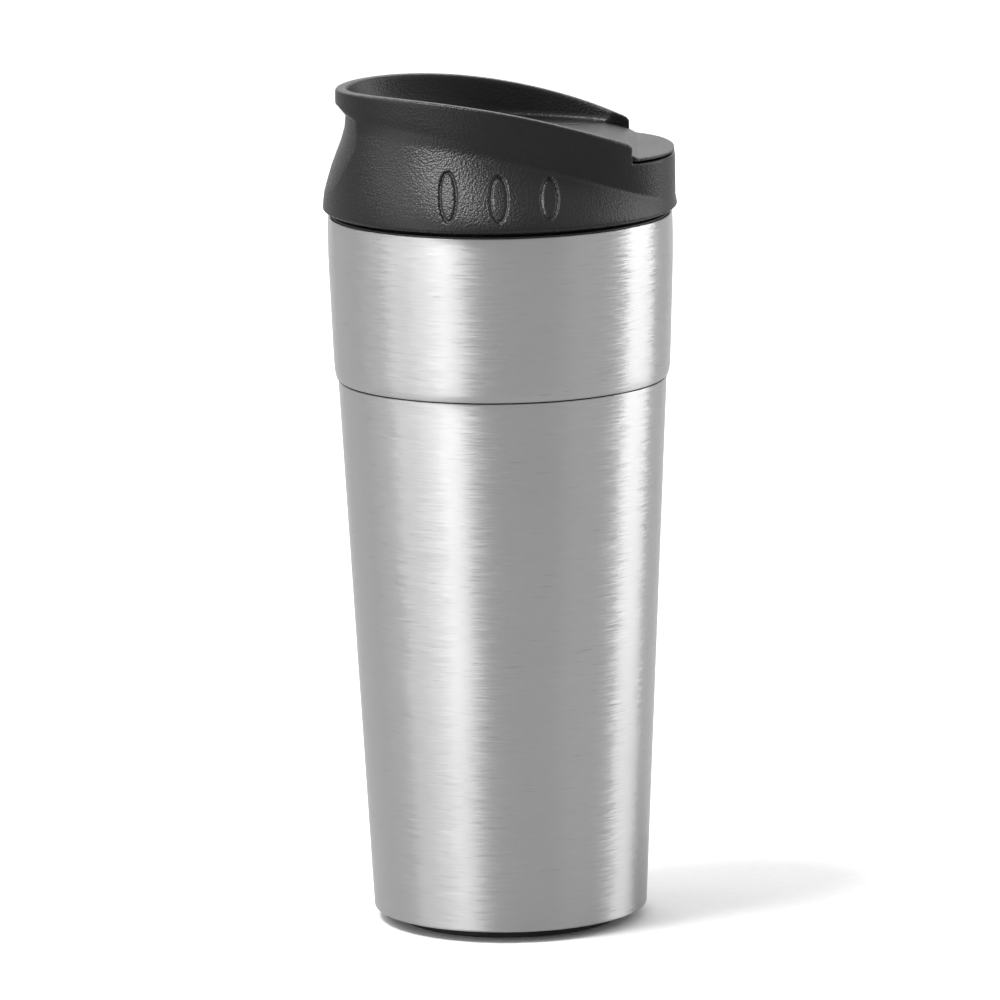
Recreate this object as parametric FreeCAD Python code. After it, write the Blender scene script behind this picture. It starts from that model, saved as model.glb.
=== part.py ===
"""Insulated travel mug: steel-clad cup, push-fit drinking lid and hinged flap.

Millimetres, +Z up, origin at the centre of the base on the table. The lid's low
drinking side faces +X and its tall lip faces -X.
"""
import FreeCAD, Part
import math
import os
from FreeCAD import Vector

# ---- steel shell -----------------------------------------------------------
shell_base_z = 2.6            # lower edge of the steel above the table
shell_base_radius = 32.15     # outside radius at that edge
shell_taper = 0.05            # radius gained per mm of height
seam_z = 128.8                # top of the lower shell
seam_gap = 0.3
sheet = 0.5                   # steel thickness
band_top_z = 167.6
edge_roll = 1.2               # rounding of the shell's lower edge

# ---- liner -----------------------------------------------------------------
liner_floor_z = 12.0
liner_floor_radius = 28.5
liner_wall = 1.6
liner_corner = 6.0
shoulder_z = 146.0            # where the liner widens for the lid's plug
mouth_z = 151.0
mouth_radius = 37.2
liner_top_z = 168.1
collar_z = 161.0
collar_radius = 39.4
lip_radius = 40.0

# ---- base ------------------------------------------------------------------
foot_outer_radius = 26.3
foot_inner_radius = 20.5
foot_height = 1.2
base_cap_radius = 31.2
base_plate_radius = 30.7
base_cap_z = 3.0
base_cap_top_z = 10.4

# ---- lid -------------------------------------------------------------------
lid_bottom_z = 168.4
lid_radius = 41.35
lid_round_z = 169.5           # full radius is reached here
rim_top_z = 197.8             # crest of the tall lip
rim_high_x = -30.0
rim_arc_radius = 165.0        # the rim falls towards +X along this arc
oval_centre_x = 4.0
oval_back = 42.0
oval_front = 37.0
oval_half_width = 29.0
oval_front_power = 2.44       # squareness of the oval's front half
lip_flare = 2.1               # lip stands out this far beyond the waist
waist_drop_back = 7.0         # waist below the rim, at the tall lip
waist_drop_front = 11.0       # and at the drinking side
cover_wall = 2.2
rim_wall = 2.6
dish_floor_z = 186.9          # dish floor at X = 0
dish_slope = 0.0625
notch_x = 31.2
notch_half_width = 22.3
notch_wall_z = 181.95
section_points = 40
section_heights = [168.4, 168.8, 169.5, 171.5, 173.5, 175.5, 177.5, 179.5, 181.5, 183.5,
                   185.5, 187.5, 189.5, 191.0, 192.0, 193.0, 194.0, 195.5, 200.0]

# ---- finger marks in the scoops ---------------------------------------------
mark_depth = 0.6
mark_half_width = 2.2
mark_places = [(-11.9, 176.9, 6.3), (-0.2, 176.4, 5.7), (11.4, 176.2, 5.0)]

# ---- plug of the lid ---------------------------------------------------------
plug_bottom_z = 155.0
plug_radius = 36.5
plug_wall = 1.7
plug_floor = 1.8
insert_flange_z = 170.0
seal_low_z = 158.5
seal_high_z = 163.5
seal_depth = 0.8
seal_lip_radius = 37.12
gasket_low_z = 176.0
gasket_high_z = 177.0

# ---- flap --------------------------------------------------------------------
hinge_x = 4.0
hinge_z = 184.3
barrel_radius = 2.3
pin_radius = 1.25
running_gap = 0.05
flap_gap = 0.4
cheek_gap = 0.3
flap_thickness = 2.25
tongue_half_width = 13.6
tab_top_z = 183.0
tab_bottom_z = 180.6
tab_lip_z = 182.25
ear_thickness = 5.0
pan_floor = 1.6
spout_x = 25.5
spout_half_length = 4.0
spout_half_width = 8.5
spout_wall = 1.5
vent_x = 12.0
vent_radius = 1.5


def smooth(u):
    """Ease from 0 to 1."""
    u = min(max(u, 0.0), 1.0)
    return u * u * (3.0 - 2.0 * u)


def shell_radius(z):
    """Outside radius of the lower steel shell."""
    return shell_base_radius + shell_taper * (z - shell_base_z)


def liner_radius(z):
    """Inside radius of the liner's tapered part."""
    return liner_floor_radius + shell_taper * (z - liner_floor_z)


def revolve(points):
    """Turn a closed outline of (radius, z) points about the Z axis."""
    corners = [Vector(r, 0, z) for r, z in points]
    face = Part.Face(Part.makePolygon(corners + corners[:1]))
    return face.revolve(Vector(0, 0, 0), Vector(0, 0, 1), 360)


def ring(inner, outer, low, high):
    """Plain ring about the Z axis."""
    return revolve([(inner, low), (outer, low), (outer, high), (inner, high)])


def slab(points, half_width=60.0):
    """Extrude an outline of (x, z) points along Y, evenly each side of the XZ plane."""
    corners = [Vector(x, -half_width, z) for x, z in points]
    face = Part.Face(Part.makePolygon(corners + corners[:1]))
    return face.extrude(Vector(0, 2.0 * half_width, 0))


def slot_prism(centre_x, half_length, half_width, low, high, taper=0.0):
    """Slot with round ends, long along Y; taper draws the low end in."""
    wires = []
    for z, inset in ((low, taper), (high, 0.0)):
        reach = half_length - inset
        straight = half_width - half_length
        a = Vector(centre_x - reach, -straight, z)
        b = Vector(centre_x, -straight - reach, z)
        c = Vector(centre_x + reach, -straight, z)
        d = Vector(centre_x + reach, straight, z)
        e = Vector(centre_x, straight + reach, z)
        f = Vector(centre_x - reach, straight, z)
        edges = [Part.Arc(a, b, c).toShape(), Part.LineSegment(c, d).toShape()]
        edges += [Part.Arc(d, e, f).toShape(), Part.LineSegment(f, a).toShape()]
        wires.append(Part.Wire(edges))
    return Part.makeLoft(wires, True, True)


# ---- the lid's outer form ----------------------------------------------------

def rim_height(x):
    """Height of the slanted rim above the table at one X."""
    return rim_top_z - rim_arc_radius + math.sqrt(rim_arc_radius ** 2 - (x - rim_high_x) ** 2)


def waist_height(x):
    """Height where the finger scoop is narrowest."""
    along = (x - oval_centre_x + oval_back) / (oval_front + oval_back - 26.0)
    drop = waist_drop_back + (waist_drop_front - waist_drop_back) * smooth(along)
    return rim_height(x) - drop


def oval_radius(angle, inset):
    """Distance from the oval's centre to the oval, at one angle."""
    power = oval_front_power if math.cos(angle) > 0 else 2.0
    reach = (oval_front if math.cos(angle) > 0 else oval_back) - inset
    width = oval_half_width - inset
    across = abs(math.cos(angle)) / reach
    aside = abs(math.sin(angle)) / width
    return (across ** power + aside ** power) ** (-1.0 / power)


def lid_point(angle, z, inset):
    """Point of the lid's outer form: a circle below, the rim's oval above."""
    corner = 0.75 * (1.0 - smooth((z - lid_bottom_z) / (lid_round_z - lid_bottom_z)))
    circle = lid_radius - inset - corner
    rim = oval_radius(angle, inset)
    rim_x = oval_centre_x + rim * math.cos(angle)
    turn = max(waist_height(rim_x), lid_round_z + 2.0)
    into_oval = smooth((z - lid_round_z) / (turn - lid_round_z))
    into_lip = smooth((z - turn) / (0.45 * (rim_height(rim_x) - turn)))
    pinch = lip_flare * (1.0 - into_lip) * smooth(0.5 * (1.2 - math.cos(angle)))
    oval = rim - pinch
    x = (1.0 - into_oval) * circle * math.cos(angle)
    x += into_oval * (oval_centre_x + oval * math.cos(angle))
    y = ((1.0 - into_oval) * circle + into_oval * oval) * math.sin(angle)
    return Vector(x, y, z)


def lid_form(inset=0.0):
    """Solid of the lid's outer form, drawn in by inset, taller than the rim."""
    wires = []
    for z in section_heights:
        angles = [2.0 * math.pi * i / section_points for i in range(section_points)]
        curve = Part.BSplineCurve()
        curve.interpolate(Points=[lid_point(a, z, inset) for a in angles], PeriodicFlag=True)
        wires.append(Part.Wire(curve.toShape()))
    return Part.makeLoft(wires, True, True)


def above_rim():
    """Everything above the slanted rim."""
    left, right, high = -46.0, 46.0, 230.0
    points = [Vector(x, -60, rim_height(x)) for x in (left, 0.0, right)]
    edges = [Part.Arc(*points).toShape()]
    corners = [points[2], Vector(right, -60, high), Vector(left, -60, high), points[0]]
    edges += [Part.LineSegment(p, q).toShape() for p, q in zip(corners, corners[1:])]
    return Part.Face(Part.Wire(edges)).extrude(Vector(0, 120, 0))


def dish_floor(x):
    """Height of the dish floor."""
    return dish_floor_z - dish_slope * x


def flap_outline(gap):
    """Plan of the flap: a tongue that widens to a tab across the notch."""
    half = [(hinge_x - barrel_radius, tongue_half_width), (15.0, 14.2), (18.4, 16.2),
            (21.5, 20.1), (25.0, 21.5), (notch_x, notch_half_width - cheek_gap),
            (46.0, notch_half_width - cheek_gap)]
    points = half + [(x, -y) for x, y in reversed(half)]
    corners = [Vector(x, y, 170.0) for x, y in points]
    wire = Part.makePolygon(corners + corners[:1])
    if gap > 0:
        wire = wire.makeOffset2D(gap, 2, False, False)
    return Part.Face(wire).extrude(Vector(0, 0, 40.0))


# ---- cup ---------------------------------------------------------------------

def make_outer_shell():
    """Tapered steel sleeve with its lower edge rolled in."""
    low = shell_base_z
    outside = [(shell_radius(low) - edge_roll, low), (shell_radius(low) - 0.35, low + 0.35),
               (shell_radius(low + edge_roll), low + edge_roll), (shell_radius(seam_z), seam_z)]
    inside = [(shell_radius(seam_z) - sheet, seam_z),
              (shell_radius(low + edge_roll) - sheet, low + edge_roll + 0.2),
              (shell_radius(low) - edge_roll, low + sheet)]
    return revolve(outside + inside)


def make_shell_band():
    """Wider steel band above the seam, with a rolled hem and a rolled top."""
    low = seam_z + seam_gap
    outside = [(38.35, low), (38.95, low + 0.7), (39.24, low + 2.2), (39.47, low + 6.2),
               (39.87, low + 17.2), (40.24, low + 27.2), (40.32, low + 33.2),
               (40.23, low + 37.2), (39.95, band_top_z)]
    inside = [(r - sheet, z) for r, z in outside]
    edges = []
    for side in (outside, inside):
        curve = Part.BSplineCurve()
        curve.interpolate([Vector(r, 0, z) for r, z in side])
        edges.append(curve.toShape())
    for near, far in ((outside[0], inside[0]), (outside[-1], inside[-1])):
        line = Part.LineSegment(Vector(near[0], 0, near[1]), Vector(far[0], 0, far[1]))
        edges.append(line.toShape())
    face = Part.Face(Part.Wire(Part.__sortEdges__(edges)))
    return face.revolve(Vector(0, 0, 0), Vector(0, 0, 1), 360)


def make_seam_ring():
    """Plastic ring that centres both steel pieces on the liner and shows in the seam."""
    inner = liner_radius(134.0) + liner_wall + 0.1
    points = [(inner, 125.0), (37.7, 125.0), (37.7, 131.6), (38.6, 131.6), (38.6, 134.0), (inner, 134.0)]
    return revolve(points)


def make_inner_liner():
    """Plastic cup that holds the drink, with a collar and lip at its mouth."""
    floor = liner_floor_z
    foot = liner_radius(floor)
    corner = liner_corner
    wall = liner_wall
    outside = [(0, floor - wall), (foot - corner + wall, floor - wall),
               (foot + wall - 1.7, floor + 0.2), (foot + wall + 0.2, floor + corner),
               (liner_radius(shoulder_z) + wall, shoulder_z), (mouth_radius + wall, mouth_z),
               (mouth_radius + wall, collar_z), (collar_radius, collar_z + 0.8),
               (collar_radius, 163.0), (38.9, 163.0), (38.9, 165.0), (collar_radius, 165.0),
               (collar_radius, band_top_z), (lip_radius, band_top_z), (lip_radius, liner_top_z)]
    inside = [(mouth_radius, liner_top_z), (mouth_radius, mouth_z),
              (liner_radius(shoulder_z), shoulder_z), (foot + 0.3, floor + corner),
              (foot - 1.6, floor + 1.8), (foot - corner, floor), (0, floor)]
    return revolve(outside + inside)


def make_rim_gasket():
    """Ring in the collar's groove that seals the air gap at the top."""
    return ring(38.9, 39.72, 163.1, 164.9)


def make_base_cap():
    """Plastic base pressed into the shell; its inner ring carries the liner."""
    cap = ring(0, base_plate_radius, base_cap_z, base_cap_z + 2.0)
    cap = cap.fuse(ring(base_cap_radius - 1.8, base_cap_radius, base_cap_z + 1.5, base_cap_top_z + 2.0))
    cap = cap.fuse(ring(18.0, 20.0, base_cap_z + 1.0, base_cap_top_z))
    cap = cap.fuse(ring(foot_inner_radius - 1.5, foot_outer_radius - 0.1, foot_height, base_cap_z + 0.5))
    cap = cap.cut(ring(base_cap_radius - 0.7, base_cap_radius + 1.0, 7.4, 8.8))
    return cap.removeSplitter()


def make_base_gasket():
    """O-ring between the base and the shell."""
    return ring(base_cap_radius - 0.7, shell_radius(7.5) - sheet - 0.03, 7.5, 8.7)


def make_foot():
    """Rubber ring that the mug stands on."""
    foot = ring(foot_inner_radius, foot_outer_radius, 0, foot_height)
    edges = [e for e in foot.Edges if abs(e.BoundBox.ZMax) < 0.01]
    edges = [e for e in edges if e.BoundBox.XMax > foot_outer_radius - 0.1]
    return foot.makeFillet(0.4, edges)


# ---- lid ---------------------------------------------------------------------

def make_marks(form):
    """Three shallow oval marks in each finger scoop."""
    skin = form.cut(lid_form(mark_depth))
    marks = []
    for x, z, half_height in mark_places:
        upright = FreeCAD.Rotation(Vector(0, 0, 1), Vector(-1, 0, 0), Vector(0, -1, 0))
        wire = Part.Wire(Part.Ellipse(Vector(0, 0, 0), half_height, mark_half_width).toShape())
        wire.Placement = FreeCAD.Placement(Vector(x, -60, z), upright)
        marks.append(Part.Face(wire).extrude(Vector(0, 120, 0)))
    return [skin.common(mark) for mark in marks]


def recess_outline(depth):
    """Side view of the space under the flap, lowered by depth."""
    back = hinge_x - barrel_radius - 0.7 - depth
    front = hinge_x + barrel_radius + 0.9 + depth
    return [(back, 215.0), (back, 181.5 - depth), (front, 181.5 - depth), (front, 183.75 - depth),
            (25.0, 182.65 - depth), (30.4, 180.2 - depth), (46.0, 180.2 - depth), (46.0, 215.0)]


def hinge_bar(radius, half_length):
    """Round bar along the hinge."""
    start = Vector(hinge_x, -half_length, hinge_z)
    return Part.makeCylinder(radius, 2.0 * half_length, start, Vector(0, 1, 0))


def spout_tube(low, high):
    """Oval chimney under the drinking hole."""
    outer = slot_prism(spout_x, spout_half_length + spout_wall, spout_half_width + spout_wall, low, high)
    return outer.cut(slot_prism(spout_x, spout_half_length, spout_half_width, low - 1.0, high + 1.0))


def vent_tube(low, high):
    """Round chimney under the vent hole."""
    start = Vector(vent_x, 0, low)
    outer = Part.makeCylinder(vent_radius + spout_wall, high - low, start)
    return outer.cut(Part.makeCylinder(vent_radius, high - low, start))


def make_lid_cover(form):
    """Outer moulding of the lid: skirt, scoops, lip, dish and the flap's recess."""
    inner = lid_form(cover_wall)
    under = slab([(-60, 150.0), (60, 150.0), (60, dish_floor(60) - 2.0), (-60, dish_floor(-60) - 2.0)])
    over = slab([(-60, dish_floor(-60)), (60, dish_floor(60)), (60, 215.0), (-60, 215.0)])
    cover = form.cut(above_rim())
    cover = cover.cut(inner.common(under))
    cover = cover.cut(ring(0, lid_radius - cover_wall, lid_bottom_z - 1.0, insert_flange_z + 0.6))
    cover = cover.cut(lid_form(rim_wall).common(over))
    pan = flap_outline(flap_gap + pan_floor).common(slab(recess_outline(pan_floor)))
    pan = pan.common(slab([(-60, 150.0), (60, 150.0), (60, dish_floor(60)), (-60, dish_floor(-60))]))
    pan = pan.common(lid_form(1.0))
    ears = Part.makeBox(6.2, 2.0 * (14.0 + ear_thickness), 5.0, Vector(0.9, -14.0 - ear_thickness, 181.0))
    cover = cover.fuse([pan, ears])
    cover = cover.fuse([spout_tube(gasket_high_z, 182.0), vent_tube(gasket_high_z, 182.5)])
    cover = cover.cut(flap_outline(flap_gap).common(slab(recess_outline(0.0))))
    notch = Part.makeBox(20.0, 2.0 * notch_half_width, 40.0, Vector(notch_x, -notch_half_width, notch_wall_z))
    cover = cover.cut(notch)
    cover = cover.cut(slot_prism(spout_x, spout_half_length, spout_half_width, 170.0, 200.0))
    cover = cover.cut(Part.makeCylinder(vent_radius, 15.0, Vector(vent_x, 0, 172.0)))
    cover = cover.cut(hinge_bar(pin_radius + 0.01, 14.0 + ear_thickness + 1.0))
    cover = cover.cut(make_marks(form))
    return max(cover.Solids, key=lambda solid: solid.Volume)


def make_lid_insert():
    """Plug moulding: flange, wall with the seal's groove, floor and both chimneys."""
    inner = plug_radius - plug_wall
    flange = lid_radius - cover_wall - 0.05
    floor = plug_bottom_z + plug_floor
    groove = plug_radius - seal_depth
    points = [(0, plug_bottom_z), (plug_radius - 1.0, plug_bottom_z), (plug_radius, plug_bottom_z + 1.0),
              (plug_radius, seal_low_z), (groove, seal_low_z), (groove, seal_high_z),
              (plug_radius, seal_high_z), (plug_radius, lid_bottom_z + 0.1), (flange - 0.5, lid_bottom_z + 0.1),
              (flange - 0.5, insert_flange_z), (inner, insert_flange_z), (inner, floor), (0, floor)]
    insert = revolve(points)
    insert = insert.fuse([spout_tube(floor - 0.5, gasket_low_z), vent_tube(floor - 0.5, gasket_low_z)])
    insert = insert.cut(slot_prism(spout_x, spout_half_length, spout_half_width, 150.0, 180.0))
    insert = insert.cut(Part.makeCylinder(vent_radius, 30.0, Vector(vent_x, 0, 150.0)))
    return insert.removeSplitter()


def make_lid_seal():
    """Silicone ring with two lips that grip the liner's mouth."""
    root = plug_radius - seal_depth
    low, high = seal_low_z, seal_high_z
    body = plug_radius
    points = [(root, low), (body, low), (seal_lip_radius, low + 0.9), (body, low + 1.5),
              (body, high - 1.9), (seal_lip_radius, high - 0.9), (body, high), (root, high)]
    return revolve(points)


def make_cover_gasket():
    """Ring between the insert's flange and the cover's skirt."""
    flange = lid_radius - cover_wall
    return ring(flange - 0.55, flange - 0.02, lid_bottom_z + 0.5, insert_flange_z - 0.3)


# ---- flap --------------------------------------------------------------------

def make_drink_flap(form):
    """Tongue, convex nose and thumb tab, turning on a barrel."""
    hinge_top = Vector(hinge_x, -60, hinge_z + barrel_radius)
    nose_start = Vector(25.0, -60, dish_floor(25.0))
    nose_middle = Vector(28.7, -60, 184.5)
    nose_end = Vector(notch_x + 0.3, -60, tab_top_z)
    tail = [nose_end, Vector(46, -60, tab_top_z), Vector(46, -60, tab_bottom_z),
            Vector(30.6, -60, tab_bottom_z), Vector(25.0, -60, dish_floor(25.0) - flap_thickness),
            Vector(hinge_x, -60, hinge_z), hinge_top]
    edges = [Part.LineSegment(hinge_top, nose_start).toShape()]
    edges += [Part.Arc(nose_start, nose_middle, nose_end).toShape()]
    edges += [Part.LineSegment(p, q).toShape() for p, q in zip(tail, tail[1:])]
    side = Part.Face(Part.Wire(edges)).extrude(Vector(0, 120, 0))
    flap = side.common(flap_outline(0.0)).common(form)
    wall_zone = Part.makeBox(20, 80, 20, Vector(30.0, -40, tab_lip_z - 20)).cut(lid_form(rim_wall))
    flap = flap.cut(wall_zone)
    flap = flap.fuse(hinge_bar(barrel_radius, tongue_half_width))
    flap = flap.cut(hinge_bar(pin_radius + running_gap, tongue_half_width + 1.0))
    return max(flap.Solids, key=lambda solid: solid.Volume)


def under_flap():
    """Everything below the flap's underside."""
    return slab([(8.0, 170.0), (46.0, 170.0), (46.0, tab_bottom_z), (30.6, tab_bottom_z),
                 (25.0, dish_floor(25.0) - flap_thickness), (8.0, 184.35)])


def make_drink_plug(flap):
    """Silicone bung that closes the drinking hole."""
    raw = slot_prism(spout_x, spout_half_length - 0.35, spout_half_width - 0.35, 178.4, 186.0, 0.9)
    return max(raw.common(under_flap()).cut(flap).Solids, key=lambda solid: solid.Volume)


def make_vent_plug(flap):
    """Silicone pip that closes the vent."""
    raw = Part.makeCone(0.8, 1.2, 3.0, Vector(vent_x, 0, 182.3))
    return max(raw.common(under_flap()).cut(flap).Solids, key=lambda solid: solid.Volume)


def make_parts():
    """Every piece, by the name of its node."""
    form = lid_form()
    flap = make_drink_flap(form)
    return {
        "outer_shell": make_outer_shell(),
        "shell_band": make_shell_band(),
        "seam_ring": make_seam_ring(),
        "inner_liner": make_inner_liner(),
        "rim_gasket": make_rim_gasket(),
        "base_cap": make_base_cap(),
        "base_gasket": make_base_gasket(),
        "anti_slip_foot": make_foot(),
        "lid_cover": make_lid_cover(form),
        "lid_insert": make_lid_insert(),
        "lid_seal": make_lid_seal(),
        "cover_gasket": make_cover_gasket(),
        "spout_gasket": spout_tube(gasket_low_z, gasket_high_z),
        "vent_gasket": vent_tube(gasket_low_z, gasket_high_z),
        "hinge_pin": hinge_bar(pin_radius, 14.0 + ear_thickness - 0.5),
        "drink_flap": flap,
        "drink_plug": make_drink_plug(flap),
        "vent_plug": make_vent_plug(flap),
    }


os.makedirs("parts", exist_ok=True)
for name, shape in make_parts().items():
    box = shape.BoundBox
    print(name, shape.isValid(), len(shape.Solids), round(shape.Volume, 1), round(box.ZMin, 2), round(box.ZMax, 2))
    shape.exportStep("parts/" + name + ".step")
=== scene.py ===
"""Looks of the insulated travel mug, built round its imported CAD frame."""
import math

import bpy
import numpy as np
from mathutils import Matrix, Vector


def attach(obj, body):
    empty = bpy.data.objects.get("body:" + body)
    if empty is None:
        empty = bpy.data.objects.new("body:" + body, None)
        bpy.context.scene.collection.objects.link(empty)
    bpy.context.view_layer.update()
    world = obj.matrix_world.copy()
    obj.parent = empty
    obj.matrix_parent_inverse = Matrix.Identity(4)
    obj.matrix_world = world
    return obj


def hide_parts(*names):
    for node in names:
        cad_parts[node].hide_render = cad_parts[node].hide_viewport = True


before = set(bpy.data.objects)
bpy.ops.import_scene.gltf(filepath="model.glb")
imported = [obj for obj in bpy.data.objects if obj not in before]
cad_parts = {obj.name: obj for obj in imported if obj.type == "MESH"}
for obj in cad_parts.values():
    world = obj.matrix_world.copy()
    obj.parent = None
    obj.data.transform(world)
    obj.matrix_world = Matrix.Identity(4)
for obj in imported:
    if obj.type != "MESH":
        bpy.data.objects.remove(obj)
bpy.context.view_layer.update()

MM = 0.001                     # shapes are worked out in millimetres and made in metres

# ---- steel ------------------------------------------------------------------
SHELL_BASE_Z = 2.6
SHELL_BASE_RADIUS = 32.15
SHELL_TAPER = 0.05
SEAM_Z = 128.8
SEAM_GAP = 0.3
SHEET = 0.5
EDGE_ROLL = 1.2
BAND_TOP_Z = 167.6
LATHE_STEPS = 288

# ---- liner, base cap and foot -----------------------------------------------
LINER_BOTTOM_Z = 10.4
LINER_FLOOR_Z = 12.0
LINER_INSIDE_RADIUS = 28.5     # at the floor
LINER_OUTSIDE_RADIUS = 30.1
SHOULDER_Z = 146.0             # the liner widens from here
COLLAR_Z = 151.0               # up to here
COLLAR_TOP_Z = 161.0
COLLAR_INSIDE_RADIUS = 37.2
COLLAR_OUTSIDE_RADIUS = 38.8
LIP_RADIUS = 39.4
GASKET_GROOVE = (163.0, 165.0, 38.9)     # low and high edge, and radius, of the rim gasket's groove
FOOT_TOP_Z = 1.2
FOOT_RADII = (20.5, 26.3)
FOOT_GROOVES = (22.0, 23.4, 24.8)
GROOVE_REACH = 0.3             # half width of a foot groove
CAP_UNDERSIDE_Z = 3.0
CAP_FLOOR_Z = 5.0
CAP_TOP_Z = 12.4

# ---- lid --------------------------------------------------------------------
LID_BOTTOM_Z = 168.7
LID_RADIUS = 41.35
LID_ROUND_Z = 169.5
RIM_TOP_Z = 197.8
RIM_HIGH_X = -30.0
RIM_ARC_RADIUS = 165.0
OVAL_CENTRE_X = 4.0
OVAL_BACK = 42.0
OVAL_FRONT = 37.0
OVAL_HALF_WIDTH = 29.0
OVAL_FRONT_POWER = 2.44
LIP_FLARE = 0.15
LIP_EDGE = 0.9                 # rounding of the lip's outer edge
LID_CORNER = 0.75              # how far the lower edge draws in
LIP_RISE = 0.45                # share of the height above the waist over which the lip flares
WAIST_DROP_BACK = 7.0
WAIST_DROP_FRONT = 11.0
WAIST_SHORT = 26.0             # the waist is fully dropped this far behind the oval's front
NECK = [                       # height and radius of the thumb facet turned into the back
    (169.3, 41.6), (173.3, 40.95), (176.3, 40.1), (179.2, 39.2), (182.5, 37.95),
    (185.4, 36.8), (188.3, 35.95), (191.4, 35.65), (194.0, 37.7), (195.0, 45.0)]
NECK_FRONT_X = -15.0           # the facet fades out in front of this X
NECK_FADE = 0.5                # outward slope of the fade
COVER_WALL = 2.2
RIM_WALL = 2.6
DISH_FLOOR_Z = 186.9
DISH_SLOPE = 0.0625
DISH_FILLET = 1.5
DISH_EDGE = 0.8
NOTCH_X = 32.0
NOTCH_HALF_WIDTH = 22.3
NOTCH_WALL_Z = 181.95
CUT_EDGE = 0.5                 # rounding of the other cut edges
HOLE_BOTTOM_Z = 170.0          # below the cover, so that a hole goes through
MARK_DEPTH = 0.2
MARK_HALF_WIDTH = 2.15
MARKS = [(-11.9, 176.65, 5.45), (-0.2, 176.1, 4.9), (11.4, 175.8, 4.35)]     # X, Z, half height
MARK_LINE = 0.27               # half width of the line round a mark
MARK_LINE_DEPTH = 0.3          # and its depth below the mark
LID_BOX = ((-42.6, -42.6, 167.4), (42.6, 42.6, 199.0))
LID_STEP = 0.3

# ---- flap -------------------------------------------------------------------
HINGE_X = 4.0
HINGE_Z = 184.3
BARREL_RADIUS = 2.3
PIN_RADIUS = 1.25
FLAP_GAP = 0.4
CHEEK_GAP = 0.3
FLAP_THICKNESS = 2.25
TONGUE_HALF_WIDTH = 13.6
TAB_TOP_Z = 183.0
TAB_BOTTOM_Z = 180.6
TAB_LIP_Z = 182.25
PAN_FLOOR = 1.6
PAN_INSET = 1.0
FLAP_BOX = ((1.0, -23.0, 179.6), (42.2, 23.0, 187.6))
FLAP_STEP = 0.25
TAB_EDGE = 0.9                 # rounding of the tab's outer edge
NOSE_X = 25.0                  # where the tongue turns down into the tab
OUTLINE_TOP_Z = 215.0          # outlines end well outside the lid
OUTLINE_FRONT_X = 60.0
TAB_FRONT_X = 46.0
SPOUT = (25.5, 4.0, 8.5)       # centre X, half length, half width
VENT = (12.0, 1.5)             # centre X, radius
SPOUT_WALL = 1.5
SPOUT_WALL_Z = (177.0, 182.0)

# ---- looks ------------------------------------------------------------------
STREAK_LEAN = 0.075            # how far a brush streak turns the steel's normal round the body

# ---- studio -----------------------------------------------------------------
ROOM_FRONT = 0.45              # brightness of the room on the camera's side
ROOM_BACK = 0.60               # and behind the mug
KEY_STRENGTH = 2.6
KEY_ANGLE = 17.0               # degrees across: how soft its shadow is
KEY_AZIMUTH = -63.0            # azimuths are in degrees to the right of the camera's side
KEY_HEIGHT = 2.45              # per metre of distance
BOX_DISTANCE = 1.2
SOFTBOXES = [                  # name, azimuth, spread of azimuths, low edge, high edge, glow, distance
    ("left_softbox", -54, 56, 0.02, 1.1, 0.75, BOX_DISTANCE),
    ("left_core", -50, 26, 0.02, 1.1, 0.8, 1.15),
    ("right_strip", 106, 29, 0.02, 1.1, 2.1, BOX_DISTANCE),
    ("left_overhead", -102, 46, 0.9, 1.9, 2.6, BOX_DISTANCE),
    ("right_overhead", 84, 70, 0.8, 1.7, 0.45, BOX_DISTANCE),
    ("back_overhead", 180, 80, 0.75, 1.7, 1.8, BOX_DISTANCE),
    ("back_panel", 180, 58, 0.02, 1.1, 0.3, BOX_DISTANCE),
]
FLOOR_HALF = 6000.0
FLOOR_SHADE_IN_REFLECTIONS = (0.38, 0.38, 0.38, 1.0)       # painted shade: the floor's grey as glossy rays see it, darker than the lit paper

# ---- camera -----------------------------------------------------------------
CAMERA_PITCH = 0.1854          # radians
CAMERA_YAW = -0.0005
CAMERA_ROLL = -0.0157
CAMERA_LENS = 332.04           # on a 36 mm sensor
CAMERA_Y = -2.12787            # metres
CAMERA_Z = 0.4984


# ---- distance fields --------------------------------------------------------

def ease(u):
    """Ease from 0 to 1."""
    u = np.clip(u, 0.0, 1.0)
    return u * u * (3.0 - 2.0 * u)


def soft_max(a, b, size):
    """Larger of two distances, rounded over size where they cross."""
    blend = np.maximum(size - np.abs(a - b), 0.0) / size
    return np.maximum(a, b) + blend * blend * size * 0.25


def soft_min(a, b, size):
    """Smaller of two distances, rounded over size where they cross."""
    return -soft_max(-a, -b, size)


def outline_distance(u, v, corners):
    """Signed distance from points (u, v) to a closed outline, negative inside."""
    nearest = np.full(np.broadcast(u, v).shape, 1e9)
    inside = np.zeros(nearest.shape, bool)
    for (u0, v0), (u1, v1) in zip(corners, corners[1:] + corners[:1]):
        along = ((u - u0) * (u1 - u0) + (v - v0) * (v1 - v0)) / ((u1 - u0) ** 2 + (v1 - v0) ** 2)
        along = np.clip(along, 0.0, 1.0)
        gap = np.hypot(u - u0 - along * (u1 - u0), v - v0 - along * (v1 - v0))
        nearest = np.minimum(nearest, gap)
        if v0 != v1:
            crosses = (v0 > v) != (v1 > v)
            inside ^= crosses & (u < (u1 - u0) * (v - v0) / (v1 - v0) + u0)
    return np.where(inside, -nearest, nearest)


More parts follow.
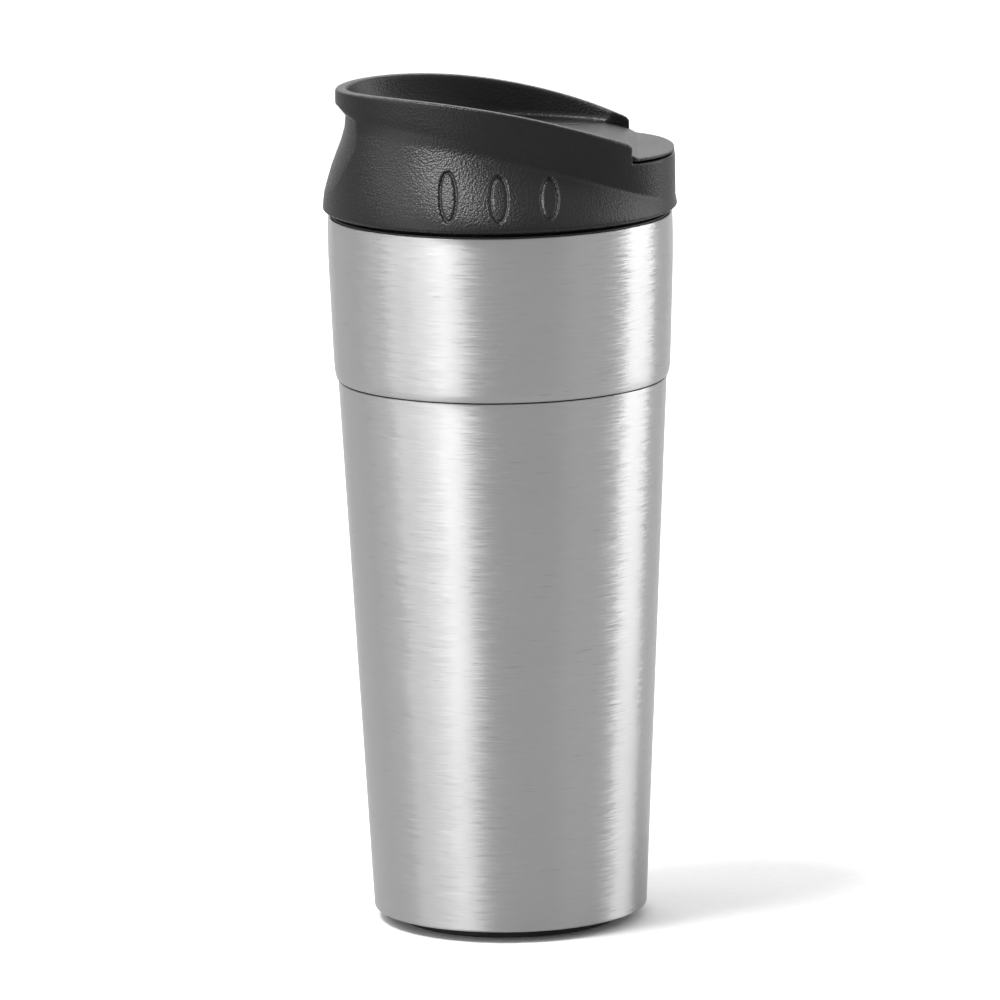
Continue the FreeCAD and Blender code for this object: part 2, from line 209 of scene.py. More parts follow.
class Grid:
    """Regular grid of sample points over a box, in millimetres."""

    def __init__(self, low, high, step):
        axes = [np.arange(a, b + step, step, dtype=np.float32) for a, b in zip(low, high)]
        self.low = np.array(low, float)
        self.step = step
        self.x, self.y, self.z = np.meshgrid(*axes, indexing="ij", sparse=True)
        self.full = np.meshgrid(*axes, indexing="ij")

    def steepness(self, field):
        """Length of the field's gradient."""
        parts = np.gradient(field, self.step)
        return np.sqrt(sum(p * p for p in parts))

    def mesh(self, name, field):
        """Closed mesh of the field's zero surface: one vertex in each cell it crosses."""
        field = field.astype(np.float32)
        inside = field < 0
        shape = tuple(n - 1 for n in field.shape)
        total = np.zeros(shape + (3,), np.float32)
        count = np.zeros(shape, np.float32)
        steps = [(i, j, k) for i in (0, 1) for j in (0, 1) for k in (0, 1)]

        def corner(values, offset):
            return values[tuple(slice(o, o + n) for o, n in zip(offset, shape))]

        for start in steps:
            for axis in range(3):
                if start[axis]:
                    continue
                end = tuple(o + (i == axis) for i, o in enumerate(start))
                crossed = corner(inside, start) != corner(inside, end)
                a, b = corner(field, start)[crossed], corner(field, end)[crossed]
                place = np.tile(np.array(start, np.float32), (len(a), 1))
                place[:, axis] += a / (a - b)
                total[crossed] += place
                count[crossed] += 1
        active = np.argwhere(count > 0)
        number = np.full(shape, -1, np.int64)
        number[tuple(active.T)] = np.arange(len(active))
        spots = active + total[count > 0] / count[count > 0][:, None]
        spots = self.settle(spots, field)
        faces = []
        for axis in range(3):
            others = [i for i in range(3) if i != axis]
            near = [slice(1, -1)] * 3
            near[axis] = slice(0, -1)
            far = list(near)
            far[axis] = slice(1, None)
            starts = inside[tuple(near)]
            changed = np.argwhere(starts != inside[tuple(far)])
            changed[:, others] += 1
            ring = []
            for a, b in ((0, 0), (1, 0), (1, 1), (0, 1)):
                cell = changed.copy()
                cell[:, others[0]] -= a
                cell[:, others[1]] -= b
                ring.append(number[tuple(cell.T)])
            quads = np.stack(ring, 1)
            outward = inside[tuple(changed.T)]
            if axis == 1:
                outward = ~outward
            quads[~outward] = quads[~outward][:, ::-1]
            faces.append(quads)
        points = self.low + spots * self.step
        return new_mesh(name, points, np.concatenate(faces))

    def settle(self, spots, field):
        """Moves surface points onto the zero surface along the field's gradient."""
        slopes = np.gradient(field)
        for _ in range(3):
            value = sample(field, spots)
            slope = np.stack([sample(s, spots) for s in slopes], 1)
            size = np.maximum((slope ** 2).sum(1), 1e-6)
            move = slope * (value / size)[:, None]
            spots = spots - np.clip(move, -0.4, 0.4)
        return spots


def sample(field, spots):
    """Value of a gridded field between its samples."""
    cell = np.clip(np.floor(spots).astype(int), 0, np.array(field.shape) - 2)
    part = spots - cell
    value = 0.0
    for i in (0, 1):
        for j in (0, 1):
            for k in (0, 1):
                weight = np.abs(1 - i - part[:, 0]) * np.abs(1 - j - part[:, 1])
                weight = weight * np.abs(1 - k - part[:, 2])
                value = value + weight * field[cell[:, 0] + i, cell[:, 1] + j, cell[:, 2] + k]
    return value


# ---- mesh helpers -----------------------------------------------------------

def new_mesh(name, points, faces):
    """Object of a smooth-shaded mesh from points in millimetres."""
    mesh = bpy.data.meshes.new(name)
    mesh.from_pydata((np.asarray(points) * MM).tolist(), [], [list(f) for f in faces])
    mesh.update()
    mesh.shade_smooth()
    piece = bpy.data.objects.new(name, mesh)
    bpy.context.scene.collection.objects.link(piece)
    return piece


def curve_through(points, steps=6):
    """Smooth line through outline points."""
    points = [np.array(p, float) for p in points]
    ends = [2 * points[0] - points[1]] + points + [2 * points[-1] - points[-2]]
    line = []
    for a, b, c, d in zip(ends, ends[1:], ends[2:], ends[3:]):
        for i in range(steps):
            t = i / steps
            line.append(0.5 * (2 * b + (c - a) * t + (2 * a - 5 * b + 4 * c - d) * t * t
                               + (3 * b - 3 * c + d - a) * t ** 3))
    return line + [points[-1]]


def rounded(corners, steps=5):
    """Closed outline whose (r, z, radius) corners are rounded to their radius."""
    line = []
    spots = [np.array(c[:2], float) for c in corners]
    for i, (corner, spot) in enumerate(zip(corners, spots)):
        if corner[2] == 0:
            line.append(spot)
            continue
        back, ahead = spots[i - 1] - spot, spots[(i + 1) % len(spots)] - spot
        back_way, ahead_way = back / np.linalg.norm(back), ahead / np.linalg.norm(ahead)
        half = 0.5 * math.acos(float(np.clip(back_way @ ahead_way, -1.0, 1.0)))
        reach = min(corner[2] / math.tan(half), 0.48 * np.linalg.norm(back), 0.48 * np.linalg.norm(ahead))
        start, end = spot + back_way * reach, spot + ahead_way * reach
        for j in range(steps + 1):
            t = j / steps
            line.append((1 - t) ** 2 * start + 2 * t * (1 - t) * spot + t * t * end)
    return line


def lathe(name, outline):
    """Turns a closed (radius, z) outline about the Z axis."""
    steps = LATHE_STEPS
    angles = np.arange(steps) * 2 * math.pi / steps
    points, rows = [], []
    for r, z in outline:
        if r < 1e-6:
            rows.append([len(points)] * steps)
            points.append((0.0, 0.0, z))
        else:
            rows.append(list(range(len(points), len(points) + steps)))
            points += [(r * math.cos(a), r * math.sin(a), z) for a in angles]
    faces = []
    for low, high in zip(rows, rows[1:] + rows[:1]):
        for i in range(steps):
            j = (i + 1) % steps
            ring = [low[i], low[j], high[j], high[i]]
            ring = [v for k, v in enumerate(ring) if v != ring[k - 1]]
            if len(ring) > 2:
                faces.append(ring)
    return new_mesh(name, points, faces)


# ---- the lid's outer form ---------------------------------------------------

def rim_height(x):
    """Height of the slanted rim at one X."""
    return RIM_TOP_Z - RIM_ARC_RADIUS + np.sqrt(RIM_ARC_RADIUS ** 2 - (x - RIM_HIGH_X) ** 2)


def waist_height(x):
    """Height where the finger scoop is narrowest."""
    along = (x - OVAL_CENTRE_X + OVAL_BACK) / (OVAL_FRONT + OVAL_BACK - WAIST_SHORT)
    drop = WAIST_DROP_BACK + (WAIST_DROP_FRONT - WAIST_DROP_BACK) * ease(along)
    return rim_height(x) - drop


def oval_radius(angle):
    """Distance from the oval's centre to the rim's oval, at one angle."""
    front = np.cos(angle) > 0
    power = np.where(front, OVAL_FRONT_POWER, 2.0)
    reach = np.where(front, OVAL_FRONT, OVAL_BACK)
    across = np.abs(np.cos(angle)) / reach
    aside = np.abs(np.sin(angle)) / OVAL_HALF_WIDTH
    return (across ** power + aside ** power) ** (-1.0 / power)


def form_outline(angle, z):
    """(share of the oval, outline radius) of the lid's outer form at one angle and height."""
    corner = LID_CORNER * (1.0 - ease((z - LID_BOTTOM_Z) / (LID_ROUND_Z - LID_BOTTOM_Z)))
    rim = oval_radius(angle)
    rim_x = OVAL_CENTRE_X + rim * np.cos(angle)
    turn = np.maximum(waist_height(rim_x), LID_ROUND_Z + 2.0)
    climb = np.clip((z - LID_ROUND_Z) / (turn - LID_ROUND_Z), 0.0, 1.5)
    into_oval = np.minimum(soft_min(1.03 * climb ** 1.3, 1.0, 0.12), 1.0)
    into_lip = ease((z - turn) / (LIP_RISE * (rim_height(rim_x) - turn)))
    pinch = LIP_FLARE * (1.0 - into_lip) * ease(0.5 * (1.2 - np.cos(angle)))
    radius = (1.0 - into_oval) * (LID_RADIUS - corner) + into_oval * (rim - pinch)
    return into_oval, radius


def form_field(grid):
    """Distance to the lid's outer form."""
    x, y, z = grid.full
    share = np.full(x.shape, 0.5, np.float32)
    for _ in range(3):
        angle = np.arctan2(y, x - OVAL_CENTRE_X * share)
        share, radius = form_outline(angle, z)
    field = np.hypot(x - OVAL_CENTRE_X * share, y) - radius
    fade = NECK_FADE * np.maximum(x - NECK_FRONT_X, 0.0)
    neck = (np.hypot(x, y) - np.interp(z, *zip(*NECK)) - fade) * 0.85
    return np.maximum(field / np.clip(grid.steepness(field), 0.8, 3.0), neck)


def flap_corners():
    """Plan outline of the flap."""
    half = [(HINGE_X - BARREL_RADIUS, TONGUE_HALF_WIDTH), (15.0, 14.2), (18.4, 16.2), (21.5, 20.1),
            (25.0, 21.5), (NOTCH_X, NOTCH_HALF_WIDTH - CHEEK_GAP),
            (TAB_FRONT_X, NOTCH_HALF_WIDTH - CHEEK_GAP)]
    return half + [(x, -y) for x, y in reversed(half)]


def recess_corners():
    """Side outline of the space under the flap."""
    back = HINGE_X - BARREL_RADIUS - 0.7
    front = HINGE_X + BARREL_RADIUS + 0.9
    return [(back, OUTLINE_TOP_Z), (back, 181.5), (front, 181.5), (front, 183.75), (NOSE_X, 182.65),
            (30.4, 180.2), (OUTLINE_FRONT_X, 180.2), (OUTLINE_FRONT_X, OUTLINE_TOP_Z)]


def slot_distance(x, y):
    """Distance to the drinking hole's outline, seen from above."""
    centre, half_length, half_width = SPOUT
    aside = np.maximum(np.abs(y) - (half_width - half_length), 0.0)
    return np.hypot(x - centre, aside) - half_length


def mark_field(grid):
    """Distance to the three oval marks, seen from the side."""
    marks = np.full(np.broadcast(grid.x, grid.z).shape, 1e9)
    for x, z, half_height in MARKS:
        across, up = (grid.x - x) / MARK_HALF_WIDTH, (grid.z - z) / half_height
        ratio = np.sqrt(across ** 2 + up ** 2)
        slope = np.sqrt((across / MARK_HALF_WIDTH) ** 2 + (up / half_height) ** 2) / np.maximum(ratio, 1e-3)
        marks = np.minimum(marks, (ratio - 1.0) / np.maximum(slope, 1e-3))
    return marks


def make_lid_cover():
    """Lid moulding with rounded lip, dish, notch, marks and the flap's recess."""
    grid = Grid(*LID_BOX, LID_STEP)
    x, y, z = grid.x, grid.y, grid.z
    form = form_field(grid)
    floor = (DISH_FLOOR_Z - DISH_SLOPE * x) - z
    rim = (z - rim_height(x)) * 0.95
    cover = soft_max(form, rim, LIP_EDGE)
    lean = 0.12 + 0.22 * ease(-x / 25.0)
    dish = soft_max(form + RIM_WALL + lean * np.maximum(-rim, 0.0), floor, DISH_FILLET)
    cover = soft_max(cover, -dish, DISH_EDGE)
    under = np.maximum(form + COVER_WALL, -floor + 2.0)
    cover = np.maximum(cover, -under)
    plan = outline_distance(x, y, flap_corners())
    side = outline_distance(x, z, recess_corners())
    pan = np.maximum(plan - FLAP_GAP - PAN_FLOOR, side - PAN_FLOOR)
    pan = np.maximum(pan, np.maximum(form + PAN_INSET, -floor))
    cover = np.minimum(cover, pan)
    spout = np.maximum(SPOUT_WALL_Z[0] - z, z - SPOUT_WALL_Z[1])
    spout = np.maximum(slot_distance(x, y) - SPOUT_WALL, spout)
    cover = np.minimum(cover, spout)
    inside_wall = np.minimum(form + RIM_WALL, NOTCH_WALL_Z - z)
    recess = np.maximum(soft_max(plan - FLAP_GAP, side, CUT_EDGE), inside_wall)
    cover = soft_max(cover, -recess, CUT_EDGE)
    notch = np.maximum(np.maximum(NOTCH_X - x, np.abs(y) - NOTCH_HALF_WIDTH), NOTCH_WALL_Z - z)
    cover = soft_max(cover, -notch, CUT_EDGE)
    hole = np.maximum(slot_distance(x, y), HOLE_BOTTOM_Z - z)
    cover = soft_max(cover, -hole, CUT_EDGE)
    vent = np.maximum(np.hypot(x - VENT[0], y) - VENT[1], HOLE_BOTTOM_Z - z)
    cover = np.maximum(cover, -vent)
    marks = mark_field(grid)
    recessed = np.maximum(marks, -form - MARK_DEPTH)
    groove = np.maximum(np.abs(marks + MARK_LINE) - MARK_LINE, -form - MARK_DEPTH - MARK_LINE_DEPTH)
    cover = np.maximum(cover, -np.minimum(recessed, groove))
    cover = soft_max(cover, LID_BOTTOM_Z - z, 0.4)
    return grid.mesh("lid_cover_moulding", cover)


def make_flap():
    """Flap moulding: tongue, convex nose and thumb tab."""
    grid = Grid(*FLAP_BOX, FLAP_STEP)
    x, y, z = grid.x, grid.y, grid.z
    form = form_field(grid)
    nose_z = DISH_FLOOR_Z - NOSE_X * DISH_SLOPE
    nose = [(NOSE_X, nose_z), (28.7, 184.5), (NOTCH_X + 0.3, TAB_TOP_Z)]
    top = [(HINGE_X, HINGE_Z + BARREL_RADIUS)] + [tuple(p) for p in curve_through(nose)]
    corners = top + [(TAB_FRONT_X, TAB_TOP_Z), (TAB_FRONT_X, TAB_BOTTOM_Z), (30.6, TAB_BOTTOM_Z),
                     (NOSE_X, nose_z - FLAP_THICKNESS), (HINGE_X, HINGE_Z)]
    side = outline_distance(x, z, corners)
    plan = outline_distance(x, y, flap_corners())
    thumb = 0.5 * np.exp(-((x - 36.0) / 4.0) ** 2 - (y / 11.0) ** 2)
    flap = soft_max(side + thumb * (z > 181.5), form, TAB_EDGE)
    flap = soft_max(flap, plan, CUT_EDGE)
    over_wall = np.maximum(-(form + RIM_WALL), z - TAB_LIP_Z)
    over_wall = np.maximum(over_wall, 29.0 - x)
    flap = soft_max(flap, -over_wall, 0.3)
    barrel = np.maximum(np.hypot(x - HINGE_X, z - HINGE_Z) - BARREL_RADIUS, np.abs(y) - TONGUE_HALF_WIDTH)
    flap = soft_min(flap, barrel, 0.4)
    bore = np.hypot(x - HINGE_X, z - HINGE_Z) - PIN_RADIUS - 0.05
    flap = np.maximum(flap, -bore)
    return grid.mesh("drink_flap_moulding", flap)


# ---- turned pieces ----------------------------------------------------------

def shell_radius(z):
    """Outside radius of the lower steel shell."""
    return SHELL_BASE_RADIUS + SHELL_TAPER * (z - SHELL_BASE_Z)


def make_outer_shell():
    """Tapered sleeve with a rolled lower edge."""
    low = SHELL_BASE_Z
    corners = [(shell_radius(low) - EDGE_ROLL, low, 0.15), (shell_radius(low) + 0.02, low, 1.1),
               (shell_radius(SEAM_Z), SEAM_Z, 0.2), (shell_radius(SEAM_Z) - SHEET, SEAM_Z, 0.1),
               (shell_radius(low) - SHEET, low + SHEET, 0.6),
               (shell_radius(low) - EDGE_ROLL, low + SHEET, 0.15)]
    return lathe("outer_shell_sleeve", rounded(corners))


def make_shell_band():
    """Band with a rolled hem at the seam and a rolled top edge."""
    low = SEAM_Z + SEAM_GAP
    outside = [(37.85, low + 0.45), (38.2, low + 0.02), (38.65, low + 0.2), (38.95, low + 0.7),
               (39.24, low + 2.2), (39.47, low + 6.2), (39.87, low + 17.2), (40.24, low + 27.2),
               (40.32, low + 33.2), (40.26, low + 37.2), (40.2, BAND_TOP_Z - 0.2), (39.95, BAND_TOP_Z)]
    outside = curve_through(outside)
    inside = [(r - SHEET, z) for r, z in outside if low + 1.0 < z < BAND_TOP_Z - 0.6]
    inside = [(37.85, low + 0.75)] + inside + [(39.5, BAND_TOP_Z - 0.4)]
    return lathe("shell_band_sleeve", outside + inside[::-1])


def make_base_cap():
    """Base moulding with its liner ring and the boss behind the foot."""
    under, floor, top = CAP_UNDERSIDE_Z, CAP_FLOOR_Z, CAP_TOP_Z
    corners = [(0, under, 0), (19.0, under, 0.3), (19.0, FOOT_TOP_Z, 0.3), (26.2, FOOT_TOP_Z, 0.3),
               (26.2, under, 0.3), (30.7, under, 0.4), (30.7, 4.5, 0.2), (31.2, 4.5, 0.2), (31.2, top, 0.3),
               (29.4, top, 0.3), (29.4, floor, 0.5), (20.0, floor, 0.4), (20.0, LINER_BOTTOM_Z, 0.2),
               (18.0, LINER_BOTTOM_Z, 0.2), (18.0, floor, 0.4), (0, floor, 0)]
    return lathe("base_cap_moulding", rounded(corners))


def make_foot():
    """Rubber ring with a rounded tread and three fine grooves."""
    inner, outer = FOOT_RADII
    corners = [(inner, FOOT_TOP_Z, 0.1), (inner, 0, 0.35)]
    for r in FOOT_GROOVES:
        near, far = r - GROOVE_REACH, r + GROOVE_REACH
        corners += [(near, 0, 0.08), (near, 0.35, 0.08), (far, 0.35, 0.08), (far, 0, 0.08)]
    corners += [(outer, 0, 0.4), (outer, FOOT_TOP_Z, 0.1)]
    return lathe("anti_slip_foot_ring", rounded(corners))


def make_liner():
    """Liner with a rounded floor corner, shoulder and lip."""
    taper = SHELL_TAPER * (SHOULDER_Z - LINER_FLOOR_Z)
    outside, inside = LINER_OUTSIDE_RADIUS, LINER_INSIDE_RADIUS
    groove_low, groove_high, groove_radius = GASKET_GROOVE
    corners = [(0, LINER_BOTTOM_Z, 0), (outside, LINER_BOTTOM_Z, 5.0), (outside + taper, SHOULDER_Z, 6.0),
               (COLLAR_OUTSIDE_RADIUS, COLLAR_Z, 3.0), (COLLAR_OUTSIDE_RADIUS, COLLAR_TOP_Z, 0.3),
               (LIP_RADIUS, 161.8, 0.3), (LIP_RADIUS, groove_low, 0.1), (groove_radius, groove_low, 0.1),
               (groove_radius, groove_high, 0.1), (LIP_RADIUS, groove_high, 0.1),
               (LIP_RADIUS, BAND_TOP_Z, 0.1), (39.5, BAND_TOP_Z, 0.05), (39.5, 167.9, 0.15),
               (COLLAR_INSIDE_RADIUS, 168.1, 0.5), (COLLAR_INSIDE_RADIUS, COLLAR_Z, 3.0),
               (inside + taper, SHOULDER_Z, 6.0), (inside, LINER_FLOOR_Z, 5.5), (0, LINER_FLOOR_Z, 0)]
    return lathe("inner_liner_cup", rounded(corners, 8))


# ---- materials --------------------------------------------------------------

class Look:
    """One procedural material: a Principled surface and the nodes that feed it."""

    def __init__(self, name, **constants):
        self.material = bpy.data.materials.new(name)
        self.material.use_nodes = True
        self.tree = self.material.node_tree
        self.shader = self.tree.nodes["Principled BSDF"]
        for socket, value in constants.items():
            self.shader.inputs[socket.replace("_", " ")].default_value = value

    def node(self, kind, settings=None, **inputs):
        """Adds a node, its settings and its inputs: values, or other nodes' outputs."""
        made = self.tree.nodes.new(kind)
        for key, value in (settings or {}).items():
            setattr(made, key, value)
        for key, value in inputs.items():
            socket = made.inputs[int(key[1:])] if key[1:].isdigit() else made.inputs[key.replace("_", " ")]
            if isinstance(value, bpy.types.NodeSocket):
                self.tree.links.new(value, socket)
            else:
                socket.default_value = value
        return made

    def place(self, scale):
        """Object coordinates stretched by scale."""
        spot = self.node("ShaderNodeTexCoord").outputs["Object"]
        return self.node("ShaderNodeMapping", Vector=spot, Scale=scale).outputs["Vector"]

    def noise(self, scale, detail=3.0, roughness=0.5, stretch=(1, 1, 1)):
        """Noise, from 0 to 1, with features about 1 / scale metres across."""
        made = self.node("ShaderNodeTexNoise", Vector=self.place(stretch), Scale=scale, Detail=detail,
                         Roughness=roughness)
        return made.outputs["Fac"]

    def ramp(self, value, low, high, start=0.3, end=0.7):
        """Value moved from start..end to low..high."""
        made = self.node("ShaderNodeMapRange", Value=value, From_Min=start, From_Max=end,
                         To_Min=low, To_Max=high)
        return made.outputs["Result"]

    def mix(self, value, low, high):
        """Colour between low and high."""
        made = self.node("ShaderNodeMix", {"data_type": "RGBA"}, i0=value, i6=(*low, 1.0), i7=(*high, 1.0))
        return made.outputs[2]

    def bump(self, height, distance, strength=1.0, under=None):
        """Bump of height, in metres of distance, over another bump."""
        inputs = {"Height": height, "Distance": distance, "Strength": strength}
        if under is not None:
            inputs["Normal"] = under
        return self.node("ShaderNodeBump", **inputs).outputs["Normal"]

    def feed(self, **inputs):
        """Links values to the surface's sockets."""
        for key, value in inputs.items():
            self.tree.links.new(value, self.shader.inputs[key.replace("_", " ")])
        return self.material


def brushed_steel():
    """Stainless sheet brushed round the body: short fine streaks that bend the reflections sideways."""
    look = Look("brushed_steel", Metallic=1.0, Anisotropic=1.0, Anisotropic_Rotation=0.25)
    streaks = look.noise(110.0, 3.0, 0.65, (1, 1, 32))
    fine = look.noise(230.0, 2.0, 0.6, (1, 1, 40))
    scratches = look.noise(150.0, 1.0, 0.5, (1, 1, 22))
    broad = look.noise(30.0, 3.0)
    lines = look.node("ShaderNodeMath", {"operation": "ADD"}, i0=streaks, i1=fine).outputs[0]
    shade = look.node("ShaderNodeMath", {"operation": "ADD"}, i0=look.ramp(lines, 0.0, 0.7, 0.7, 1.3),
                      i1=look.ramp(broad, 0.0, 0.3)).outputs[0]
    colour = look.node("ShaderNodeMix", {"data_type": "RGBA"}, i0=look.ramp(scratches, 0.0, 0.4, 0.70, 0.78),
                       i6=look.mix(shade, (0.55, 0.55, 0.555), (0.65, 0.65, 0.65)),
                       i7=(0.30, 0.30, 0.30, 1.0)).outputs[2]
    rough = look.node("ShaderNodeMath", {"operation": "ADD"}, i0=look.ramp(lines, 0.34, 0.42, 0.7, 1.3),
                      i1=look.ramp(broad, -0.02, 0.03)).outputs[0]
    tangent = look.node("ShaderNodeTangent", {"direction_type": "RADIAL", "axis": "Z"}).outputs[0]
    lean = look.node("ShaderNodeVectorMath", {"operation": "SCALE"}, i0=tangent,
                     Scale=look.ramp(lines, -STREAK_LEAN, STREAK_LEAN, 0.7, 1.3)).outputs[0]
    face = look.node("ShaderNodeNewGeometry").outputs["Normal"]
    normal = look.node("ShaderNodeVectorMath", {"operation": "ADD"}, i0=face, i1=lean).outputs[0]
    return look.feed(Base_Color=colour, Roughness=rough, Tangent=tangent, Normal=look.node(
        "ShaderNodeVectorMath", {"operation": "NORMALIZE"}, i0=normal).outputs[0])


def grained_plastic():
    """Black polypropylene with a spark-eroded grain."""
    look = Look("grained_plastic", Specular_IOR_Level=0.36)
    grain = look.noise(2600.0, 2.0, 0.6)
    pits = look.node("ShaderNodeTexVoronoi", Vector=look.place((1, 1, 1)), Scale=1900.0).outputs["Distance"]
    broad = look.noise(45.0, 3.0)
    colour = look.mix(look.ramp(broad, 0.0, 1.0), (0.004, 0.004, 0.0043), (0.008, 0.008, 0.0084))
    rough = look.ramp(pits, 0.30, 0.40, 0.1, 0.8)
    normal = look.bump(grain, 0.00006, 0.5, look.bump(pits, 0.00013, 0.5))
    return look.feed(Base_Color=colour, Roughness=rough, Normal=normal)


def satin_plastic():
    """Smooth black moulding with faint flow marks."""
    look = Look("satin_plastic")
    flow = look.noise(60.0, 4.0, 0.6, (1, 1, 3))
    fine = look.noise(900.0, 2.0)
    colour = look.mix(look.ramp(flow, 0.0, 1.0), (0.022, 0.022, 0.0231), (0.033, 0.033, 0.0341))
    rough = look.ramp(flow, 0.3, 0.42)
    return look.feed(Base_Color=colour, Roughness=rough, Normal=look.bump(fine, 0.00002, 0.5))


def silicone():
    """Dark satin silicone with a dusty bloom."""
    look = Look("silicone", Subsurface_Weight=0.05)
    bloom = look.noise(220.0, 4.0, 0.65)
    fine = look.noise(1500.0, 2.0)
    colour = look.mix(look.ramp(bloom, 0.0, 1.0), (0.03, 0.03, 0.032), (0.055, 0.055, 0.058))
    rough = look.ramp(bloom, 0.5, 0.68)
    return look.feed(Base_Color=colour, Roughness=rough, Normal=look.bump(fine, 0.00003, 0.6))


def foot_rubber():
    """Matt black rubber."""
    look = Look("foot_rubber")
    dust = look.noise(300.0, 4.0, 0.7)
    colour = look.mix(look.ramp(dust, 0.0, 1.0), (0.018, 0.018, 0.018), (0.04, 0.039, 0.037))
    rough = look.ramp(dust, 0.7, 0.85)
    return look.feed(Base_Color=colour, Roughness=rough, Normal=look.bump(dust, 0.00005, 0.6))


def drawn_wire():
    """Drawn stainless wire of the hinge pin."""
    look = Look("drawn_wire", Metallic=1.0)
    lines = look.noise(300.0, 3.0, 0.6, (12, 1, 12))
    colour = look.mix(look.ramp(lines, 0.0, 1.0), (0.5, 0.5, 0.5), (0.68, 0.68, 0.67))
    rough = look.ramp(lines, 0.2, 0.35)
    return look.feed(Base_Color=colour, Roughness=rough, Normal=look.bump(lines, 0.00001, 0.5))


def paint(piece, material):
    """Gives a piece one material."""
    piece.data.materials.clear()
    piece.data.materials.append(material)


# ---- studio -----------------------------------------------------------------

def floor_material():
    """Pale matt paper, which steel mirrors darker: a painted shade in its reflections, as if the lit paper
    ended near the mug.
    """
    look = Look("floor_paper", Specular_IOR_Level=0.0)
    fibre = look.noise(400.0, 4.0)
    colour = look.mix(look.ramp(fibre, 0.0, 1.0), (0.87, 0.87, 0.87), (0.90, 0.90, 0.90))
    # painted shade: glossy rays see the floor in a darker grey than the camera does
    mirrored = look.node("ShaderNodeLightPath").outputs["Is Glossy Ray"]
    colour = look.node("ShaderNodeMix", {"data_type": "RGBA"}, i0=mirrored, i6=colour, i7=FLOOR_SHADE_IN_REFLECTIONS)
    return look.feed(Base_Color=colour.outputs[2], Roughness=look.ramp(fibre, 0.85, 0.95))


def make_floor():
    """Large pale floor."""
    half = FLOOR_HALF
    corners = [(-half, -half, 0), (half, -half, 0), (half, half, 0), (-half, half, 0)]
    floor = new_mesh("studio_floor", corners, [(0, 1, 2, 3)])
    paint(floor, floor_material())


def add_light(name, light, azimuth, height, distance, aim):
    """Stands a light at an azimuth to the right of the camera's side, facing the mug."""
    lamp = bpy.data.objects.new(name, light)
    bpy.context.scene.collection.objects.link(lamp)
    turn = math.radians(azimuth)
    lamp.location = (distance * math.sin(turn), -distance * math.cos(turn), height)
    lamp.rotation_euler = (Vector((0, 0, aim)) - lamp.location).to_track_quat("-Z", "Y").to_euler()
    lamp.visible_camera = False


def softbox(name, azimuth, spread, low, high, glow, distance):
    """Upright soft light that spans a spread of azimuths, from low to high, with one glow."""
    light = bpy.data.lights.new(name, "AREA")
    light.shape = "RECTANGLE"
    light.size = 2.0 * distance * math.tan(math.radians(0.5 * spread))
    light.size_y = high - low
    light.energy = 4.0 * glow * light.size * light.size_y
    add_light(name, light, azimuth, 0.5 * (low + high), distance, 0.5 * (low + high))


def make_lights():
    """Soft studio: a sun-like key light high on the left, upright softboxes and a pale room."""
    key = bpy.data.lights.new("key_light", "SUN")
    key.energy = KEY_STRENGTH
    key.angle = math.radians(KEY_ANGLE)
    add_light("key_light", key, KEY_AZIMUTH, KEY_HEIGHT, 1.0, 0.0)
    for box in SOFTBOXES:
        softbox(*box)
    world = bpy.data.worlds.new("studio_room")
    world.use_nodes = True
    tree = world.node_tree
    way = tree.nodes.new("ShaderNodeSeparateXYZ")
    tree.links.new(tree.nodes.new("ShaderNodeTexCoord").outputs["Generated"], way.inputs[0])
    fade = tree.nodes.new("ShaderNodeMapRange")
    fade.interpolation_type = "SMOOTHSTEP"
    for socket, value in (("From Min", -0.2), ("From Max", 0.3),
                          ("To Min", ROOM_FRONT), ("To Max", ROOM_BACK)):
        fade.inputs[socket].default_value = value
    tree.links.new(way.outputs["Y"], fade.inputs["Value"])
    back = tree.nodes["Background"]
    back.inputs["Color"].default_value = (0.985, 0.99, 1.0, 1.0)
    tree.links.new(fade.outputs["Result"], back.inputs["Strength"])
    bpy.context.scene.world = world
    bpy.context.scene.view_settings.view_transform = "Standard"


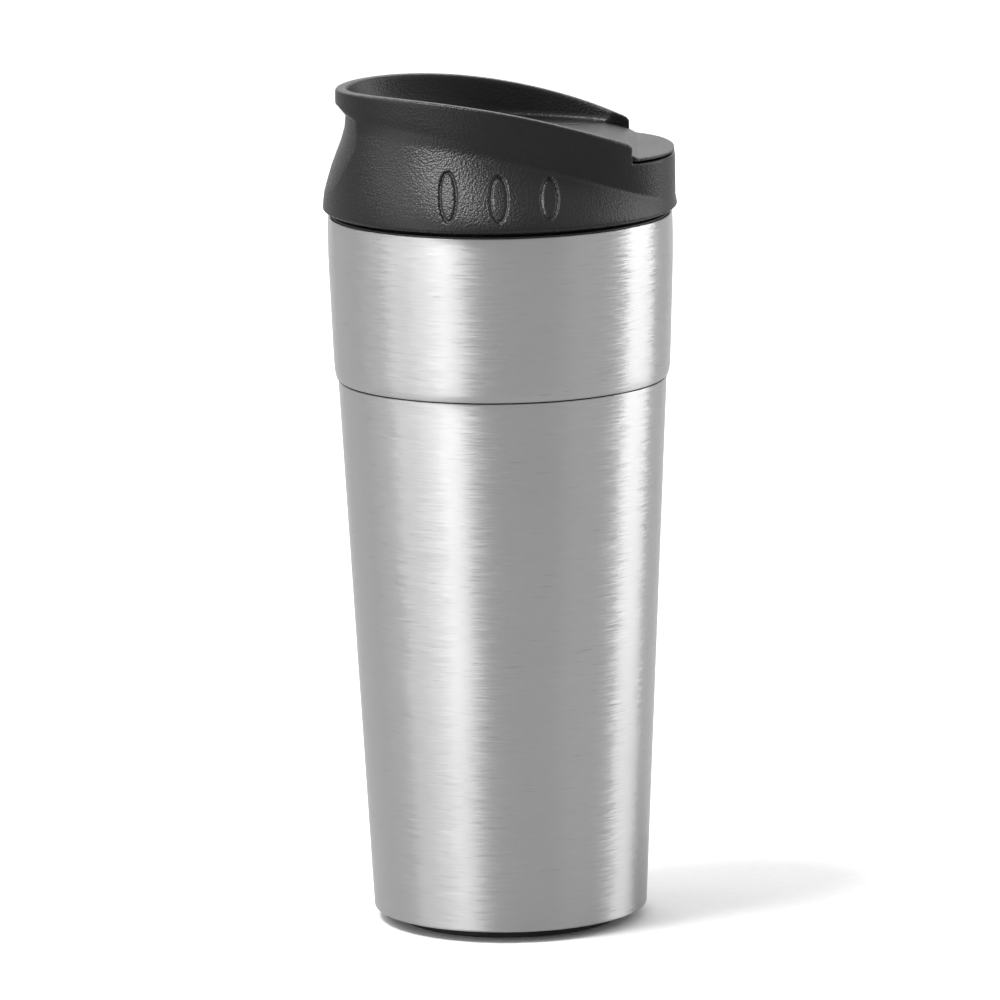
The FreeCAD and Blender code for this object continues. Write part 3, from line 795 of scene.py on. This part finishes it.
def make_camera():
    """Long lens in front of the mug, a little above it."""
    pitch, yaw, roll = CAMERA_PITCH, CAMERA_YAW, CAMERA_ROLL
    ahead = Vector((math.sin(yaw) * math.cos(pitch), math.cos(yaw) * math.cos(pitch), -math.sin(pitch)))
    right = ahead.cross(Vector((0, 0, 1))).normalized()
    up = right.cross(ahead)
    across = right * math.cos(roll) + up * math.sin(roll)
    upward = up * math.cos(roll) - right * math.sin(roll)
    data = bpy.data.cameras.new("camera")
    data.sensor_width = 36.0
    data.lens = CAMERA_LENS
    data.clip_start, data.clip_end = 0.1, 30.0
    camera = bpy.data.objects.new("camera", data)
    bpy.context.scene.collection.objects.link(camera)
    camera.matrix_world = Matrix((
        (across.x, upward.x, -ahead.x, 0.0),
        (across.y, upward.y, -ahead.y, CAMERA_Y),
        (across.z, upward.z, -ahead.z, CAMERA_Z),
        (0.0, 0.0, 0.0, 1.0)))
    bpy.context.scene.camera = camera


# ---- putting it together ----------------------------------------------------

make_camera()
make_floor()
make_lights()

steel = brushed_steel()
grained = grained_plastic()
satin = satin_plastic()
seal = silicone()
rubber = foot_rubber()
wire = drawn_wire()

for piece, node, body, slot, material in (
    (make_outer_shell(), "outer_shell", "mug", "brushed_steel", steel),
    (make_shell_band(), "shell_band", "mug", "brushed_steel", steel),
    (make_liner(), "inner_liner", "mug", "liner_plastic", satin),
    (make_base_cap(), "base_cap", "mug", "black_plastic", satin),
    (make_foot(), "anti_slip_foot", "mug", "foot_rubber", rubber),
    (make_lid_cover(), "lid_cover", "lid", "grained_plastic", grained),
    (make_flap(), "drink_flap", "flap", "grained_plastic", grained),
):
    paint(piece, material)
    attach(piece, body)
    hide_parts(node)

for node, material in (
    ("seam_ring", satin), ("rim_gasket", seal), ("base_gasket", seal), ("lid_insert", satin),
    ("lid_seal", seal), ("cover_gasket", seal), ("spout_gasket", seal), ("vent_gasket", seal),
    ("hinge_pin", wire), ("drink_plug", seal), ("vent_plug", seal),
):
    paint(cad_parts[node], material)
